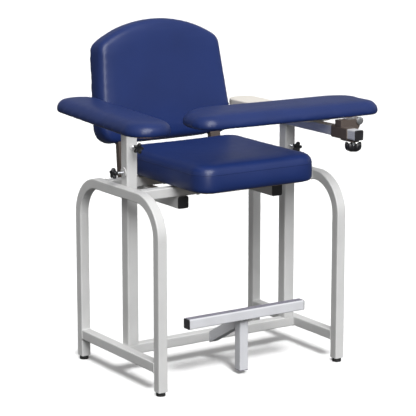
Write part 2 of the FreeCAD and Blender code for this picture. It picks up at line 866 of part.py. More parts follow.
def build_back():
    """A foam back on a board, held by two joggled flat bars that slip into slots in the foam."""
    thick = size["back_thick"]
    cushion = back_panel(
        "back_cushion", ZERO, thick, size["back_corner"], size["back_shoulder_corner"]
    )
    round_edges(cushion, lambda edge: lies_at(edge, ZERO), size["back_edge"], "front_edge")
    inset = size["back_board_inset"]
    recess = new_sketch(cushion, "XY_Plane", "recess", -thick)
    draw_back(recess, inset)
    pocket(cushion, recess, size["back_board"], name="recess_cut", reverse=True)
    play = size["back_slot_play"]
    inner = size["carrier_offset"] - sleeve / 2 - play
    outer = size["carrier_offset"] + sleeve / 2 + play
    below_foot = -size["back_corner"]
    steps = (
        ("slots", size["back_slot_height"], size["back_slot_front"]),
        ("slot_feet", size["back_slot_foot_height"], size["back_slot_foot_front"]),
    )
    for name, top, front in steps:
        slot = new_sketch(cushion, "XY_Plane", name, -thick + size["back_board"])
        for near, far in ((-outer, -inner), (inner, outer)):
            draw_polygon(slot, [(near, below_foot), (far, below_foot), (far, top), (near, top)])
        pocket(cushion, slot, thick - size["back_board"] - front, name=f"{name}_cut", reverse=True)
    turn = BACK_TURN.multiply(TO_FRONT)
    place(cushion, ZERO, size["back_front"], size["back_bottom"], turn)

    board = back_panel(
        "back_board",
        inset + size["clearance"],
        size["back_board"],
        size["back_corner"] - inset,
        size["back_shoulder_corner"] - inset,
    )
    lean = math.radians(size["back_recline"].number)
    depth = thick - size["back_board"]
    place(
        board,
        ZERO,
        size["back_front"] + depth * math.cos(lean),
        size["back_bottom"] - depth * math.sin(lean),
        turn,
    )

    bolt_spots = [
        (size["carrier_offset"] * side, height)
        for side in (-1, 1)
        for height in (size["back_bolt_low"], size["back_bolt_high"])
    ]
    bolts = studs(
        "back_bolts",
        bolt_spots,
        size["bolt_head"] / 2,
        size["bolt_head_height"],
        size["bolt"] / 2,
        size["back_board"] + size["upright_thick"] / 2,
    )
    drill(board, "XY_Plane", bolt_spots, size["bolt"] / 2 + size["bolt_play"], name="bolt_hole")
    place(
        bolts,
        ZERO,
        size["back_front"] + thick * math.cos(lean),
        size["back_bottom"] - thick * math.sin(lean),
        turn,
    )
    build_uprights(lean)


def build_uprights(lean):
    """Flat bars from the carriers' rear ends, joggled back to lie against the back board."""
    thick = size["upright_thick"]
    start = (size["carrier_back"] + thick / 2, carrier_axis - sleeve / 2)
    rise = size["upright_knee"]
    slope = math.tan(math.radians(size["upright_lean"].number))
    knee = (start[0] + rise * slope, start[1] + rise)
    depth = size["back_thick"] - size["back_board"] - thick / 2 - size["clearance"]

    def on_back(height):
        """A point on the bar's axis where it lies along the board, height up the back."""
        y = size["back_front"] + depth * math.cos(lean) + height * math.sin(lean)
        z = size["back_bottom"] - depth * math.sin(lean) + height * math.cos(lean)
        return y, z

    stations = [start, knee, on_back(size["upright_jog_height"]), on_back(size["upright_end_height"])]
    for side, sign in (("left", -1), ("right", 1)):
        bar = new_body(f"{side}_back_upright")
        path = new_sketch(bar, "YZ_Plane", "path")
        points = [Vector(plain(y - start[0]), plain(z - start[1]), 0) for y, z in stations]
        lines = [path.addGeometry(Part.LineSegment(points[i], points[i + 1]), False) for i in range(3)]
        for i in range(2):
            path.addConstraint(Sketcher.Constraint("Coincident", lines[i], 2, lines[i + 1], 1))
        path.addConstraint(Sketcher.Constraint("Coincident", lines[0], 1, -1, 1))
        for line, (y, z) in zip(lines, stations[1:]):
            pin_point(path, line, 2, y - start[0], z - start[1])
        profile = new_sketch(bar, "XY_Plane", "profile")
        half_width = sleeve / 2 - size["running_play"]
        half_thick = thick / 2
        draw_polygon(
            profile,
            [
                (-half_width, -half_thick),
                (half_width, -half_thick),
                (half_width, half_thick),
                (-half_width, half_thick),
            ],
        )
        pipe = bar.newObject("PartDesign::AdditivePipe", f"{side}_back_upright_pipe")
        pipe.Profile = profile
        pipe.Spine = (path, [])
        pipe.Transition = "Right corner"
        doc.recompute()
        place(bar, size["carrier_offset"] * sign, start[0], start[1])


# ---------------------------------------------------------------- left arm


def build_left_arm():
    """An inner post that telescopes in the left post and carries a plain arm pad."""
    bottom = size["inner_post_bottom"]
    plate_bottom = size["left_pad_bottom"] - size["arm_plate_thick"]
    post = square_tube(
        "left_arm_post", tube, size["tube_wall"], size["tube_corner"], plate_bottom - bottom
    )
    place(post, -size["post_offset"], ZERO, bottom)
    plate = slab(
        "left_arm_plate",
        size["arm_plate_length"],
        size["arm_plate_width"],
        size["arm_plate_thick"],
        [size["arm_plate_corner"]] * 4,
    )
    plate_side = -size["post_offset"] - size["arm_plate_length"] / 2 + tube / 2
    place(plate, plate_side, ZERO, plate_bottom)

    turn = Rotation(Vector(0, 0, 1), 90 - size["left_pad_splay"].number)
    cushion, board = arm_pad_on_board(
        "left_arm_pad", size["left_pad_length"], size["left_pad_width"], [size["left_pad_corner"]] * 4
    )
    for item in (cushion, board):
        place(item, -size["left_pad_side"], -size["left_pad_front"], size["left_pad_bottom"], turn)
    spots = [
        (x, size["arm_screw_offset"] * y)
        for x in (-size["arm_screw_out"], size["arm_screw_in"])
        for y in (-1, 1)
    ]
    screws = studs(
        "left_pad_screws",
        spots,
        size["screw_head"] / 2,
        size["screw_head_height"],
        size["screw"] / 2,
        size["arm_screw_length"],
    )
    drill(plate, "XY_Plane", spots, size["screw"] / 2 + size["screw_play"], name="screw_hole")
    place(screws, plate_side, ZERO, plate_bottom)


# ---------------------------------------------------------------- right arm


def build_right_arm():
    """An inner post that telescopes in the right post, a slide bar across it and a fixed armrest."""
    bottom = size["inner_post_bottom"]
    post = square_tube(
        "right_arm_post", tube, size["tube_wall"], size["tube_corner"], size["bar_bottom"] - bottom
    )
    place(post, size["post_offset"], ZERO, bottom)
    bar = square_tube("slide_bar", tube, size["tube_wall"], size["tube_corner"], size["bar_length"])
    place(bar, size["post_offset"], -size["bar_front"], bar_axis, TO_BACK)
    front_cap = end_cap("slide_bar_front_cap", tube, size["tube_wall"])
    place(front_cap, size["post_offset"], -size["bar_front"], bar_axis, TO_BACK)
    rear_cap = end_cap("slide_bar_rear_cap", tube, size["tube_wall"])
    place(rear_cap, size["post_offset"], size["bar_length"] - size["bar_front"], bar_axis, TO_FRONT)

    rest = slab(
        "fixed_armrest",
        size["rest_width"],
        size["rest_length"],
        size["rest_thick"],
        [size["rest_rear_corner"]] * 2 + [size["rest_corner"]] * 2,
    )
    rest_bottom = size["bar_bottom"] + tube
    rest_middle = size["rest_length"] / 2 - size["rest_front"]
    place(rest, size["rest_side"], rest_middle, rest_bottom)
    round_edges(rest, lambda edge: lies_at(edge, size["rest_thick"]), size["rest_edge"], "top_edge")
    spots = [(ZERO, -size["rest_screw_front"]), (ZERO, size["rest_screw_back"])]
    screws = studs(
        "armrest_screws",
        spots,
        size["screw_head"] / 2,
        size["screw_head_height"],
        size["screw"] / 2,
        tube + size["rest_screw_bite"],
    )
    along_bar = [(ZERO, y + size["bar_front"]) for x, y in spots]
    drill(bar, "XZ_Plane", along_bar, size["screw"] / 2 + size["screw_play"], name="screw_hole")
    place(screws, size["post_offset"], ZERO, size["bar_bottom"])


def build_slider():
    """A sleeve that slides on the bar, with a clamp tab below and the flip arm's hinge on top."""
    play = size["running_play"]
    length = size["slider_length"]
    slider = square_tube("slider_sleeve", sleeve, size["sleeve_wall"], size["sleeve_corner"], length)
    place(slider, size["post_offset"], -size["slider_front"], bar_axis, TO_BACK)
    sleeve_top = bar_axis + sleeve / 2
    sleeve_bottom = bar_axis - sleeve / 2

    tab = slab(
        "clamp_tab",
        size["tab_width"],
        size["tab_length"],
        size["tab_thick"],
        [size["tab_corner"]] * 4,
    )
    tab_middle = size["tab_length"] / 2 - size["tab_front"]
    drill(
        tab,
        "XY_Plane",
        [(ZERO, -size["slider_knob_front"] - tab_middle)],
        size["knob_stud"] / 2 + play,
        name="stud_hole",
    )
    place(tab, size["post_offset"], tab_middle, sleeve_bottom - size["tab_thick"])

    build_hinge_bracket(sleeve_top, play)
    build_hinge_pin()


def build_hinge_bracket(sleeve_top, play):
    """A clevis for the flip arm's hinge, welded over the sleeve's top and down its outer side."""
    # The bracket's own XY plane is its front face; its X runs across the chair and its Y runs up.
    bracket = new_body("hinge_bracket")
    outline = new_sketch(bracket, "XY_Plane", "outline")
    left = size["post_offset"] - sleeve / 2 - size["hinge_side"]
    sleeve_side = size["post_offset"] + sleeve / 2 - size["hinge_side"]
    low = sleeve_top - size["hinge_height"]
    foot = -size["hinge_bracket_foot"]
    high = size["flip_pad_bottom"] - size["arm_plate_thick"] - size["clearance"] - size["hinge_height"]
    draw_polygon(
        outline,
        [
            (left, low),
            (sleeve_side, low),
            (sleeve_side, foot),
            (size["hinge_knuckle"] * -0.3, foot),
            (size["hinge_knuckle"] * 0.3, size["hinge_knuckle"] * -0.38),
            (size["hinge_knuckle"] * 0.05, high),
            (left, high),
        ],
    )
    pad(bracket, outline, size["hinge_length"], reverse=True)
    lug = new_sketch(bracket, "XY_Plane", "lug")
    draw_circle(lug, size["hinge_knuckle"] / 2)
    pad(bracket, lug, size["hinge_length"], name="lug_pad", reverse=True)
    gap = new_sketch(bracket, "XZ_Plane", "gap")
    gap_left = size["hinge_knuckle"] * -0.66
    gap_right = size["hinge_knuckle"]
    gap_front = -size["hinge_lug"]
    gap_back = size["hinge_lug"] - size["hinge_length"]
    draw_polygon(
        gap, [(gap_left, gap_back), (gap_right, gap_back), (gap_right, gap_front), (gap_left, gap_front)]
    )
    pocket(bracket, gap, name="gap_cut")
    drill(bracket, "XY_Plane", [(ZERO, ZERO)], size["hinge_pin"] / 2 + play, name="pin_hole")
    place(bracket, size["hinge_side"], -size["hinge_front"], size["hinge_height"], TO_FRONT)


def build_hinge_pin():
    """The hinge pin, with a wide head in front and a nut behind."""
    washer = as_size(1)
    pin = new_body("hinge_pin")
    head = new_sketch(pin, "XY_Plane", "head")
    draw_circle(head, size["hinge_pin_head"] / 2)
    pad(pin, head, size["hinge_pin_head_thick"], name="head_pad", reverse=True)
    shaft = new_sketch(pin, "XY_Plane", "shaft")
    draw_circle(shaft, size["hinge_pin"] / 2)
    pad(pin, shaft, size["hinge_length"] + size["hinge_pin_tail"], name="shaft_pad")
    nut = new_sketch(pin, "XY_Plane", "nut", size["hinge_length"] + washer * 2)
    draw_circle(nut, size["hinge_pin_nut"] / 2)
    pad(pin, nut, size["hinge_pin_head_thick"], name="nut_pad")
    place(pin, size["hinge_side"], -size["hinge_front"] - washer, size["hinge_height"], TO_BACK)


def build_flip_arm():
    """The hinge leaf and the wide pad that swings up about the hinge pin."""
    play = size["running_play"]
    leaf_top = size["flip_pad_bottom"] - size["hinge_height"]
    leaf = new_body("hinge_leaf")
    plate = new_sketch(leaf, "XY_Plane", "plate", leaf_top)
    front = -size["hinge_front"] + size["hinge_lug"] + size["clearance"]
    back = -size["hinge_front"] + size["hinge_length"] - size["hinge_lug"] - size["clearance"]
    reach = -size["leaf_reach"]
    step = -size["leaf_step"]
    clear = size["hinge_knuckle"] * -0.88
    depth_front = -size["leaf_front"]
    depth_back = -size["leaf_back"]
    draw_polygon(
        plate,
        [
            (reach, depth_front),
            (step, depth_front),
            (step, front),
            (ZERO, front),
            (ZERO, back),
            (clear, back),
            (clear, depth_back),
            (reach, depth_back),
        ],
    )
    pad(leaf, plate, size["arm_plate_thick"], name="plate_pad", reverse=True)
    knuckle = new_sketch(leaf, "XZ_Plane", "knuckle", -front)
    draw_circle(knuckle, size["hinge_knuckle"] / 2)
    pad(leaf, knuckle, back - front, name="knuckle_pad", reverse=True)
    drill(leaf, "XZ_Plane", [(ZERO, ZERO)], size["hinge_pin"] / 2 + play, name="pin_hole")
    place(leaf, size["hinge_side"], ZERO, size["hinge_height"])

    turn = Rotation(Vector(0, 0, 1), -size["flip_pad_turn"].number)
    radii = [
        size["flip_pad_corner"],
        size["flip_pad_corner"],
        size["flip_pad_hinge_corner"],
        size["flip_pad_free_corner"],
    ]
    cushion, board = arm_pad_on_board("flip_pad", size["flip_pad_length"], size["flip_pad_width"], radii)
    for item in (cushion, board):
        place(item, size["flip_pad_side"], -size["flip_pad_front"], size["flip_pad_bottom"], turn)
    head_height = size["screw_head_height"]
    spots = [
        (-x, -y)
        for x in (size["leaf_screw_far"], size["leaf_screw_near"])
        for y in (size["leaf_screw_front"], size["leaf_screw_back"])
    ]
    screws = studs(
        "flip_pad_screws",
        spots,
        size["screw_head"] / 2,
        head_height,
        size["screw"] / 2,
        size["leaf_screw_length"],
    )
    drill(leaf, "XY_Plane", spots, size["screw"] / 2 + size["screw_play"], name="screw_hole")
    sink = new_sketch(leaf, "XY_Plane", "screw_sink", leaf_top - size["arm_plate_thick"])
    for x, y in spots:
        draw_circle(sink, size["screw_head"] / 2 + size["screw_play"], x, y)
    pocket(leaf, sink, head_height, name="screw_sink_cut", reverse=True)
    place(
        screws,
        size["hinge_side"],
        ZERO,
        size["flip_pad_bottom"] - size["arm_plate_thick"] + head_height,
    )


# ---------------------------------------------------------------- clamp knobs


def build_knobs():
    """Four star knobs that clamp the arm posts and a larger one that clamps the slider."""
    standoff = size["knob_standoff"]
    stud_length = standoff + size["sleeve_wall"] - size["clearance"]
    face = sleeve / 2 + standoff
    post = size["post_offset"]
    knobs = (
        ("left_front_knob", -post, -face, size["left_front_knob_height"], TO_FRONT),
        ("left_side_knob", -post - face, ZERO, size["left_side_knob_height"], TO_LEFT),
        ("right_front_knob", post, -face, size["right_front_knob_height"], TO_FRONT),
        ("right_side_knob", post + face, ZERO, size["right_side_knob_height"], TO_RIGHT),
    )
    for label, x, y, z, turn in knobs:
        knob = star_knob(label, size["knob_diameter"], size["knob_thick"], stud_length)
        place(knob, x, y, z, turn)
    slider_stud = size["bar_bottom"] - size["slider_knob_top"] - size["clearance"]
    knob = star_knob(
        "slider_knob", size["slider_knob_diameter"], size["slider_knob_thick"], slider_stud
    )
    place(knob, post, -size["slider_knob_front"], size["slider_knob_top"], TO_FLOOR)


# ---------------------------------------------------------------- build, check and export


def check_and_export():
    doc.recompute()
    for item in doc.Objects:
        if "Invalid" in item.State or "Error" in item.State:
            raise RuntimeError(f"{item.Name} failed: {item.State}")
    for body in pieces:
        shape = body.Shape
        if shape.isNull() or not shape.isValid() or not shape.Solids:
            raise RuntimeError(f"{body.Label} has no valid solid")
        shape.exportStep(f"parts/{body.Label}.step")
        box = shape.BoundBox
        print(
            f"{body.Label:22s} {len(shape.Solids)} solid(s)"
            f"  X {box.XMin:7.1f} {box.XMax:7.1f}"
            f"  Y {box.YMin:7.1f} {box.YMax:7.1f}"
            f"  Z {box.ZMin:7.1f} {box.ZMax:7.1f}"
        )
    print(len(pieces), "nodes")


for side_name, side_sign in (("left", -1), ("right", 1)):
    build_side(side_name, side_sign)
build_cross_rails()
build_carriers()
build_posts()
build_footrest()
build_glides()
build_seat()
build_back()
build_left_arm()
build_right_arm()
build_slider()
build_flip_arm()
build_knobs()
check_and_export()
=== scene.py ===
import json
import math

import bpy
import numpy as np
from mathutils import Matrix, Vector
from mathutils.bvhtree import BVHTree


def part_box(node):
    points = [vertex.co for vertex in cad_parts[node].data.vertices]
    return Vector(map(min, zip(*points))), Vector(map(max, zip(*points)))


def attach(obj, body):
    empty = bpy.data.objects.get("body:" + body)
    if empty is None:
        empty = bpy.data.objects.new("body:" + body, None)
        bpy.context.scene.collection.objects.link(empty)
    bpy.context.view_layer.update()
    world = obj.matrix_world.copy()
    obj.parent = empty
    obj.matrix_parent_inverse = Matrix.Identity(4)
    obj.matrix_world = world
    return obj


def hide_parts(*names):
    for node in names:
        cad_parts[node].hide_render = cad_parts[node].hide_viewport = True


# The looks of an extra-tall blood-draw chair. Metres, +Z up, the sitter faces -Y.
# Left and right are as seen by someone who stands in front of the chair: left is -X.

MM = 0.001

# cushions
CUSHION_VOXEL = 6 * MM
# What remeshing and smoothing take off a cushion, given back as a swell.
PLUMP = 2.5 * MM
SEAM_DEPTH = 24 * MM
SEAM_STEPS = 400
# The back's front face at its foot, how far it leans, and the direction into its foam.
BACK_FOOT = Vector((0, 0.233, 0.697))
BACK_LEAN = math.radians(10.76)
UP_THE_BACK = Vector((0, math.sin(BACK_LEAN), math.cos(BACK_LEAN)))
INTO_THE_BACK = Vector((0, math.cos(BACK_LEAN), -math.sin(BACK_LEAN)))

# tubes and their welds
TUBE = 31.75 * MM
TUBE_CORNER = 4.0 * MM
CORNER_STEPS = 6
WELD_BEAD = 2.2 * MM
HOOP_SEAM = 0.5 * MM
CORD_SIDES = 8
LEGS = ("left_front_leg", "left_rear_leg", "right_front_leg", "right_rear_leg")
WELDED_RAILS = (
    # node, and the axis it runs along
    ("left_low_rail", 1),
    ("right_low_rail", 1),
    ("low_cross_rail", 0),
    ("seat_rail_front", 0),
    ("seat_rail_rear", 0),
)
# Only these throw a shadow on the floor, besides the feet.
SHADOW_NODES = (
    "left_low_rail",
    "right_low_rail",
    "low_cross_rail",
    "footrest_bar",
    "footrest_leg",
    "footrest_strut",
)

# knobs
KNOB_LOBES = 5
KNOB_SEGMENTS = 120
KNOB_RADIUS = 17.5 * MM
KNOB_THICK = 13.5 * MM
KNOB_STUD = 32.7 * MM
SLIDER_KNOB_RADIUS = 27 * MM
SLIDER_KNOB_THICK = 29 * MM
SLIDER_KNOB_STUD = 8.2 * MM
THREAD_PITCH = 1.25 * MM
THREAD_CREST = 4.0 * MM
THREAD_ROOT = 3.4 * MM

# the studio: brightness above and in front, below, and the share left of it behind
STUDIO_BRIGHT = 0.66
STUDIO_DIM = 0.12
STUDIO_BACK = 0.35
LAMP_TARGET = Vector((0, 0, 0.75))
KEY_TOWARD = (-0.2, -0.69, 0.69)
REAR_TOWARD = (0.4, 0.85, 0.35)
SHEEN_TOWARD = (-0.5, -0.83, 0.25)
CAMERA_PLACE = (-3.2291, -4.920, 1.7649)
CAMERA_TURN = math.radians(33.21)
CAMERA_TILT = math.radians(12.10)
CAMERA_LENS = 163.3

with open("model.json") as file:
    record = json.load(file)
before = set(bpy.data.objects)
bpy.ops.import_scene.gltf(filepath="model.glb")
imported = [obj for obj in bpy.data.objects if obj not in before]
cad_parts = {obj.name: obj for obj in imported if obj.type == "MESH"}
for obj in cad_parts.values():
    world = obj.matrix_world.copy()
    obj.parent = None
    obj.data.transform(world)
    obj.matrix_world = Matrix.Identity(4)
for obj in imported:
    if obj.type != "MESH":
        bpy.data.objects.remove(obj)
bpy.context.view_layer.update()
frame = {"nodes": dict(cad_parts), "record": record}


# ---------------------------------------------------------------- materials


class Look:
    """A Principled material with short ways to feed its sockets."""

    def __init__(self, name, colour, roughness, metallic=0.0):
        self.material = bpy.data.materials.new(name)
        self.material.use_nodes = True
        self.tree = self.material.node_tree
        self.shader = self.tree.nodes["Principled BSDF"]
        self.shader.inputs["Base Color"].default_value = (*colour, 1)
        self.shader.inputs["Roughness"].default_value = roughness
        self.shader.inputs["Metallic"].default_value = metallic
        self.height = None

    def gloss(self, coat, coat_roughness, specular=0.5):
        self.shader.inputs["Coat Weight"].default_value = coat
        self.shader.inputs["Coat Roughness"].default_value = coat_roughness
        self.shader.inputs["Specular IOR Level"].default_value = specular

    def node(self, kind, **settings):
        made = self.tree.nodes.new(kind)
        for name, value in settings.items():
            setattr(made, name, value)
        return made

    def join(self, source, target):
        self.tree.links.new(source, target)

    def coordinates(self, stretch=(1, 1, 1)):
        """Places in the row frame, in metres, stretched along each axis."""
        place = self.node("ShaderNodeTexCoord")
        mapping = self.node("ShaderNodeMapping")
        mapping.inputs["Scale"].default_value = stretch
        self.join(place.outputs["Object"], mapping.inputs["Vector"])
        return mapping.outputs["Vector"]

    def noise(self, scale, detail=3.0, stretch=(1, 1, 1)):
        texture = self.node("ShaderNodeTexNoise")
        texture.inputs["Scale"].default_value = scale
        texture.inputs["Detail"].default_value = detail
        self.join(self.coordinates(stretch), texture.inputs["Vector"])
        return texture.outputs["Fac"]

    def cells(self, scale):
        """Soft pebbles with creases between them."""
        texture = self.node("ShaderNodeTexVoronoi", feature="DISTANCE_TO_EDGE")
        texture.inputs["Scale"].default_value = scale
        self.join(self.coordinates(), texture.inputs["Vector"])
        return texture.outputs["Distance"]

    def bands(self, scale, direction, distortion):
        texture = self.node("ShaderNodeTexWave", bands_direction=direction)
        texture.inputs["Scale"].default_value = scale
        texture.inputs["Distortion"].default_value = distortion
        self.join(self.coordinates(), texture.inputs["Vector"])
        return texture.outputs["Fac"]

    def colours(self, pattern, *stops):
        """Drives the base colour from a pattern through (place, colour) stops."""
        ramp = self.node("ShaderNodeValToRGB")
        elements = ramp.color_ramp.elements
        while len(elements) < len(stops):
            elements.new(0.5)
        for element, (place, colour) in zip(elements, stops):
            element.position = place
            element.color = (*colour, 1)
        self.join(pattern, ramp.inputs["Fac"])
        self.join(ramp.outputs["Color"], self.shader.inputs["Base Color"])

    def roughness(self, pattern, low, high):
        spread = self.node("ShaderNodeMapRange")
        spread.inputs["To Min"].default_value = low
        spread.inputs["To Max"].default_value = high
        self.join(pattern, spread.inputs["Value"])
        self.join(spread.outputs["Result"], self.shader.inputs["Roughness"])

    def relief(self, pattern, depth, strength=1.0):
        """Adds a bump layer, depth in metres, on top of the layers before it."""
        bump = self.node("ShaderNodeBump")
        bump.inputs["Strength"].default_value = strength
        bump.inputs["Distance"].default_value = depth
        self.join(pattern, bump.inputs["Height"])
        if self.height is not None:
            self.join(self.height, bump.inputs["Normal"])
        self.height = bump.outputs["Normal"]
        self.join(self.height, self.shader.inputs["Normal"])


def tint(colour, factor):
    return tuple(channel * factor for channel in colour)


def make_vinyl(name, colour):
    """Coated vinyl: pebbled grain, slight mottling and a soft waxy gloss."""
    look = Look(name, colour, 0.4)
    look.gloss(coat=0.05, coat_roughness=0.28, specular=0.25)
    look.colours(look.noise(7, 4), (0.3, tint(colour, 0.92)), (0.7, tint(colour, 1.08)))
    look.roughness(look.noise(40, 3), 0.34, 0.42)
    look.relief(look.noise(9, 2), 0.7 * MM, 0.35)
    look.relief(look.cells(620), 0.09 * MM, 0.8)
    look.relief(look.noise(2600, 2), 0.03 * MM, 0.5)
    return look.material


def make_powder_coat(name, colour, roughness=0.42):
    """Baked powder paint: a fine orange peel and faint shifts of tone."""
    look = Look(name, colour, roughness)
    look.gloss(coat=0.08, coat_roughness=0.25, specular=0.4)
    look.colours(look.noise(14, 5), (0.3, tint(colour, 0.96)), (0.7, tint(colour, 1.04)))
    look.roughness(look.noise(60, 4), roughness - 0.05, roughness + 0.07)
    look.relief(look.noise(900, 2), 0.06 * MM, 0.6)
    return look.material


def make_moulded(name, colour, roughness):
    """Moulded plastic or rubber with a spark-eroded mould texture."""
    look = Look(name, colour, roughness)
    look.gloss(coat=0.0, coat_roughness=0.3, specular=0.45)
    look.colours(look.noise(90, 4), (0.3, tint(colour, 0.85)), (0.7, tint(colour, 1.2)))
    look.roughness(look.noise(300, 3), roughness - 0.06, roughness + 0.08)
    look.relief(look.noise(1800, 3), 0.05 * MM, 0.7)
    return look.material


def make_brushed(name, colour, roughness, stretch):
    """Bright zinc-clad steel with fine brushing; stretch is small along the brushing."""
    look = Look(name, colour, roughness, metallic=0.6)
    brushing = look.noise(1200, 3, stretch)
    look.colours(brushing, (0.35, tint(colour, 0.86)), (0.65, tint(colour, 1.08)))
    look.roughness(brushing, roughness - 0.08, roughness + 0.1)
    look.relief(brushing, 0.02 * MM, 0.6)
    return look.material


def make_plated(name, colour, roughness):
    """Zinc plate: slightly cloudy bright metal."""
    look = Look(name, colour, roughness, metallic=1.0)
    look.colours(look.noise(160, 4), (0.3, tint(colour, 0.85)), (0.7, tint(colour, 1.1)))
    look.roughness(look.noise(220, 3), roughness - 0.08, roughness + 0.12)
    look.relief(look.noise(1500, 2), 0.02 * MM, 0.6)
    return look.material


def make_plywood(name):
    """Birch ply: thin plies stacked in Z, each with streaks of grain."""
    pale, brown = (0.55, 0.37, 0.20), (0.27, 0.15, 0.07)
    look = Look(name, pale, 0.6)
    look.colours(look.bands(110, "Z", 0.6), (0.25, brown), (0.45, tint(pale, 0.85)), (0.8, pale))
    grain = look.noise(260, 5, (0.06, 1, 1))
    look.roughness(grain, 0.55, 0.75)
    look.relief(grain, 0.12 * MM, 0.8)
    return look.material


def make_laminate(name, colour):
    """A matt moulded armrest with a fine leathery emboss and faint speckle."""
    look = Look(name, colour, 0.5)
    look.gloss(coat=0.05, coat_roughness=0.4)
    look.colours(look.noise(420, 4), (0.35, tint(colour, 0.93)), (0.6, colour))
    look.roughness(look.noise(80, 3), 0.45, 0.58)
    look.relief(look.cells(700), 0.06 * MM, 0.6)
    return look.material


NAVY = (0.008, 0.020, 0.094)
LIGHT_GREY = (0.50, 0.50, 0.497)
BROWN = (0.075, 0.058, 0.050)

LOOKS = {
    "frame_paint": make_powder_coat("frame_powder_coat", LIGHT_GREY),
    "footrest_paint": make_powder_coat("footrest_powder_coat", (0.505, 0.51, 0.535)),
    "dark_steel": make_powder_coat("brown_powder_coat", BROWN, 0.5),
    "black_plastic": make_moulded("black_cap_plastic", (0.012, 0.012, 0.014), 0.42),
    "knob_plastic": make_moulded("black_knob_plastic", (0.008, 0.008, 0.010), 0.34),
    # Dark slate for the strip along the footrest bar's top, which makes that top darker than the
    # bar's paint, and for the footrest leg's plug.
    "tread": make_moulded("dark_slate", (0.15, 0.145, 0.18), 0.8),
    "glide_rubber": make_moulded("black_rubber", (0.013, 0.013, 0.013), 0.62),
    "vinyl": make_vinyl("navy_vinyl", NAVY),
    "back_cover": make_vinyl("navy_vinyl_back_cover", tint(NAVY, 0.8)),
    "plywood": make_plywood("birch_plywood"),
    "armrest_laminate": make_laminate("beige_armrest", (0.55, 0.52, 0.47)),
    "bright_steel": make_plated("zinc_plate", (0.62, 0.63, 0.65), 0.32),
}
BAR_STEEL = make_brushed("brushed_bar_steel", (0.82, 0.83, 0.85), 0.36, (1, 0.02, 1))


def dress_frame():
    """Gives every CAD node the look of its slot."""
    for entry in frame["record"]["subparts"]:
        mesh = frame["nodes"][entry["node"]].data
        mesh.materials.clear()
        mesh.materials.append(LOOKS[entry["material_slot"]])
    for node, material in (("slide_bar", BAR_STEEL), ("footrest_leg_plug", LOOKS["tread"])):
        mesh = frame["nodes"][node].data
        mesh.materials.clear()
        mesh.materials.append(material)


# ---------------------------------------------------------------- mesh helpers


def add_mesh(name, corners, faces, material, sharp_degrees=40):
    mesh = bpy.data.meshes.new(name)
    mesh.from_pydata([tuple(corner) for corner in corners], [], faces)
    mesh.validate()
    mesh.shade_smooth()
    mesh.set_sharp_from_angle(angle=math.radians(sharp_degrees))
    mesh.materials.append(material)
    piece = bpy.data.objects.new(name, mesh)
    bpy.context.scene.collection.objects.link(piece)
    return piece


def skin(rings, first_index=0):
    """Faces over a stack of equally long rings, closed at both ends."""
    count = len(rings[0])
    faces = []
    for level in range(len(rings) - 1):
        low = first_index + level * count
        high = low + count
        for i in range(count):
            j = (i + 1) % count
            faces.append((low + i, low + j, high + j, high + i))
    last = first_index + (len(rings) - 1) * count
    faces.append(tuple(first_index + i for i in reversed(range(count))))
    faces.append(tuple(last + i for i in range(count)))
    return faces


def polar(radius, angle, height):
    return Vector((radius * math.cos(angle), radius * math.sin(angle), height))


def whole_turn(segments):
    """Evenly spaced angles round a circle."""
    return [2 * math.pi * i / segments for i in range(segments)]


def turned_rings(profile, place, segments=48):
    """Rings of a turned part: profile holds (radius, height) pairs, place is its 4x4 frame."""
    rings = []
    for radius, height in profile:
        rings.append([place @ polar(radius, angle, height) for angle in whole_turn(segments)])
    return rings


def flatten(rings):
    return [corner for ring in rings for corner in ring]


def add_turned(name, parts, material, sharp_degrees=40):
    """One piece made of several turned parts, each a (profile, place) pair."""
    corners, faces = [], []
    for profile, place in parts:
        rings = turned_rings(profile, place)
        faces += skin(rings, len(corners))
        corners += flatten(rings)
    return add_mesh(name, corners, faces, material, sharp_degrees)


def frame_at(centre, up, across):
    """A 4x4 frame at centre with its Z along up and its X along across."""
    z = Vector(up).normalized()
    x = Vector(across).normalized()
    y = z.cross(x)
    return Matrix.Translation(centre) @ Matrix((x, y, z)).transposed().to_4x4()


def node_centre(node):
    low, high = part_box(node)
    return (low + high) / 2


# ---------------------------------------------------------------- cushions


def copy_node(name, node):
    """A free copy of a CAD node's mesh, in the row frame."""
    source = frame["nodes"][node]
    mesh = source.data.copy()
    mesh.name = name
    mesh.transform(source.matrix_world)
    piece = bpy.data.objects.new(name, mesh)
    bpy.context.scene.collection.objects.link(piece)
    return piece


def add_block(piece, corners):
    """Adds a closed block to a mesh, from its four lower and four upper corners in order round."""
    mesh = piece.data
    first = len(mesh.vertices)
    places = [tuple(vertex.co) for vertex in mesh.vertices]
    places += [tuple(corner) for corner in corners]
    faces = [tuple(polygon.vertices) for polygon in mesh.polygons]
    faces += skin([corners[:4], corners[4:]], first)
    joined = bpy.data.meshes.new(mesh.name)
    joined.from_pydata(places, [], faces)
    piece.data = joined


def apply_modifiers(piece):
    bpy.context.view_layer.update()
    shaped = piece.evaluated_get(bpy.context.evaluated_depsgraph_get())
    mesh = bpy.data.meshes.new_from_object(shaped)
    piece.modifiers.clear()
    piece.data = mesh


def remesh(piece, voxel):
    modifier = piece.modifiers.new("Even", "REMESH")
    modifier.mode = "VOXEL"
    modifier.voxel_size = voxel
    apply_modifiers(piece)


def smooth(piece, rounds, factor=0.5):
    modifier = piece.modifiers.new("Smooth", "SMOOTH")
    modifier.iterations = rounds
    modifier.factor = factor
    apply_modifiers(piece)


